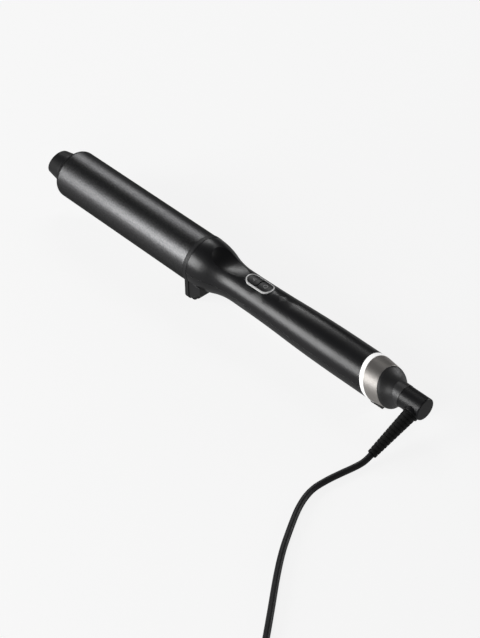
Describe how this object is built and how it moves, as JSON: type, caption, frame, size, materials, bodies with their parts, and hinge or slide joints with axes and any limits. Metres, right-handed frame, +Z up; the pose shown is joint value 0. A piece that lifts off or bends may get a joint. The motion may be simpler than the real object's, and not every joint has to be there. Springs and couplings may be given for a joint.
{
  "type": "curling wand",
  "caption": "Round grip curling wand with a wide heated barrel, cool tip, fold-free resting stand, two press keys and a swivelling mains cord.",
  "frame": {"origin": "on the floor under the middle of the wand's length, cord left out", "axes": "+X along the wand towards the cool tip, +Z up, +Y to the side the cord leaves on"},
  "size_m": [0.5768, 0.2781, 0.0507],
  "materials": {
    "shell_plastic": "satin black",
    "collar_plastic": "fine satin, dark grey",
    "barrel_coat": "satin graphite ceramic coat on aluminium",
    "tip_plastic": "satin black, heat resistant",
    "insulator": "plain",
    "trim_metal": "brushed silver",
    "band_plastic": "white, glossy",
    "bezel_metal": "bright",
    "key_plastic": "black, glossy",
    "foot_rubber": "plain",
    "key_rubber": "plain",
    "heater_aluminium": "extruded",
    "heater_ceramic": "white ceramic",
    "lead_glass": "clear",
    "steel": "zinc plated",
    "brass": "plain",
    "board": "green solder mask",
    "component_plastic": "plain",
    "capacitor_plastic": "yellow box",
    "led": "red",
    "wire_live": "brown sleeve",
    "wire_neutral": "blue sleeve",
    "swivel_plastic": "satin black",
    "cord_rubber": "matte black PVC",
    "plug_plastic": "moulded black PVC"
  },
  "bodies": {
    "wand": {"upper_shell": "shell_plastic", "lower_shell": "shell_plastic", "collar_stand": "collar_plastic", "stand_pad": "foot_rubber", "tail_foot": "foot_rubber", "end_cap": "shell_plastic", "trim_ring": "trim_metal", "light_band": "band_plastic", "barrel": "barrel_coat", "tip_seal": "insulator", "cool_tip": "tip_plastic", "barrel_base": "insulator", "heater_carrier_upper": "heater_aluminium", "heater_carrier_lower": "heater_aluminium", "heater_core": "heater_ceramic", "thermal_fuse": "steel", "thermistor": "lead_glass", "heater_wire_live": "wire_live", "heater_wire_neutral": "wire_neutral", "key_bezel": "bezel_metal", "main_board": "board", "key_mat": "key_rubber", "switch_rear": "component_plastic", "switch_front": "component_plastic", "triac": "component_plastic", "capacitor": "capacitor_plastic", "board_fuse": "lead_glass", "status_led": "led", "shell_screw_1": "steel", "shell_screw_2": "steel", "brush_holder": "insulator", "brush_live": "brass", "brush_neutral": "brass", "mains_wire_live": "wire_live", "mains_wire_neutral": "wire_neutral", "cord_tube": "cord_rubber", "cord_coil": "cord_rubber", "cord_tail": "cord_rubber", "plug_body": "plug_plastic", "plug_blade_1": "brass", "plug_blade_2": "brass"},
    "swivel": {"swivel_body": "swivel_plastic", "swivel_clip": "steel", "strain_relief": "cord_rubber", "contact_hub": "insulator", "contact_track_outer": "brass", "contact_track_inner": "brass"},
    "key_rear": {"key_rear": "key_plastic"},
    "key_front": {"key_front": "key_plastic"}
  },
  "joints": [
    {"name": "cord_swivel", "type": "hinge", "parent": "wand", "child": "swivel", "pos_m": [-0.18968, 0, 0.01965], "axis": [0.9994, 0, 0.0342], "continuous": true},
    {"name": "key_rear_press", "type": "slide", "parent": "wand", "child": "key_rear", "axis": [0.0342, 0, -0.9994], "range_m": [0, 0.0005], "stiffness_N_per_m": 400},
    {"name": "key_front_press", "type": "slide", "parent": "wand", "child": "key_front", "axis": [0.0342, 0, -0.9994], "range_m": [0, 0.0005], "stiffness_N_per_m": 400}
  ]
}
